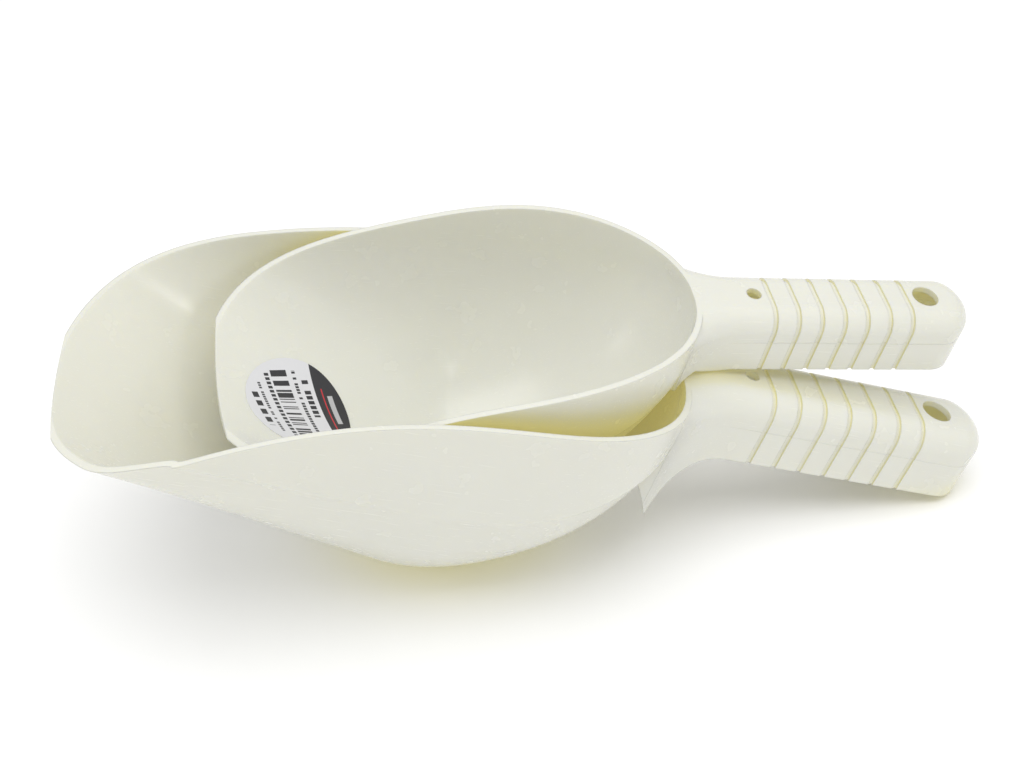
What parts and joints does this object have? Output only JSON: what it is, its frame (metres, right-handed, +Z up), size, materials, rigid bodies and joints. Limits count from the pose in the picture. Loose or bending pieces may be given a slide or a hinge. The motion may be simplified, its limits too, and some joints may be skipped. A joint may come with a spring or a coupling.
{
  "type": "ice scoop",
  "caption": "Moulded plastic ice scoops in two sizes, nested one in the other, each a deep pointed-back bowl with a hollow ribbed grip, a hanging hole and open front lip.",
  "frame": {"origin": "on the worktop, under the middle of the nested pair's bounding box", "axes": "+X runs from the lips to the grips' ends, +Y across the scoops, +Z up from the worktop"},
  "size_m": [0.3353, 0.1226, 0.11],
  "materials": {
    "ivory_plastic": "glossy ivory moulding",
    "label_film": "printed self-adhesive label"
  },
  "bodies": {
    "lower_scoop": {"large_scoop": "ivory_plastic"},
    "upper_scoop": {"small_scoop": "ivory_plastic", "round_label": "label_film"}
  },
  "joints": [
    {"name": "lift_out", "type": "slide", "parent": "lower_scoop", "child": "upper_scoop", "axis": [0, 0, 1], "range_m": [0, 0.12]}
  ]
}
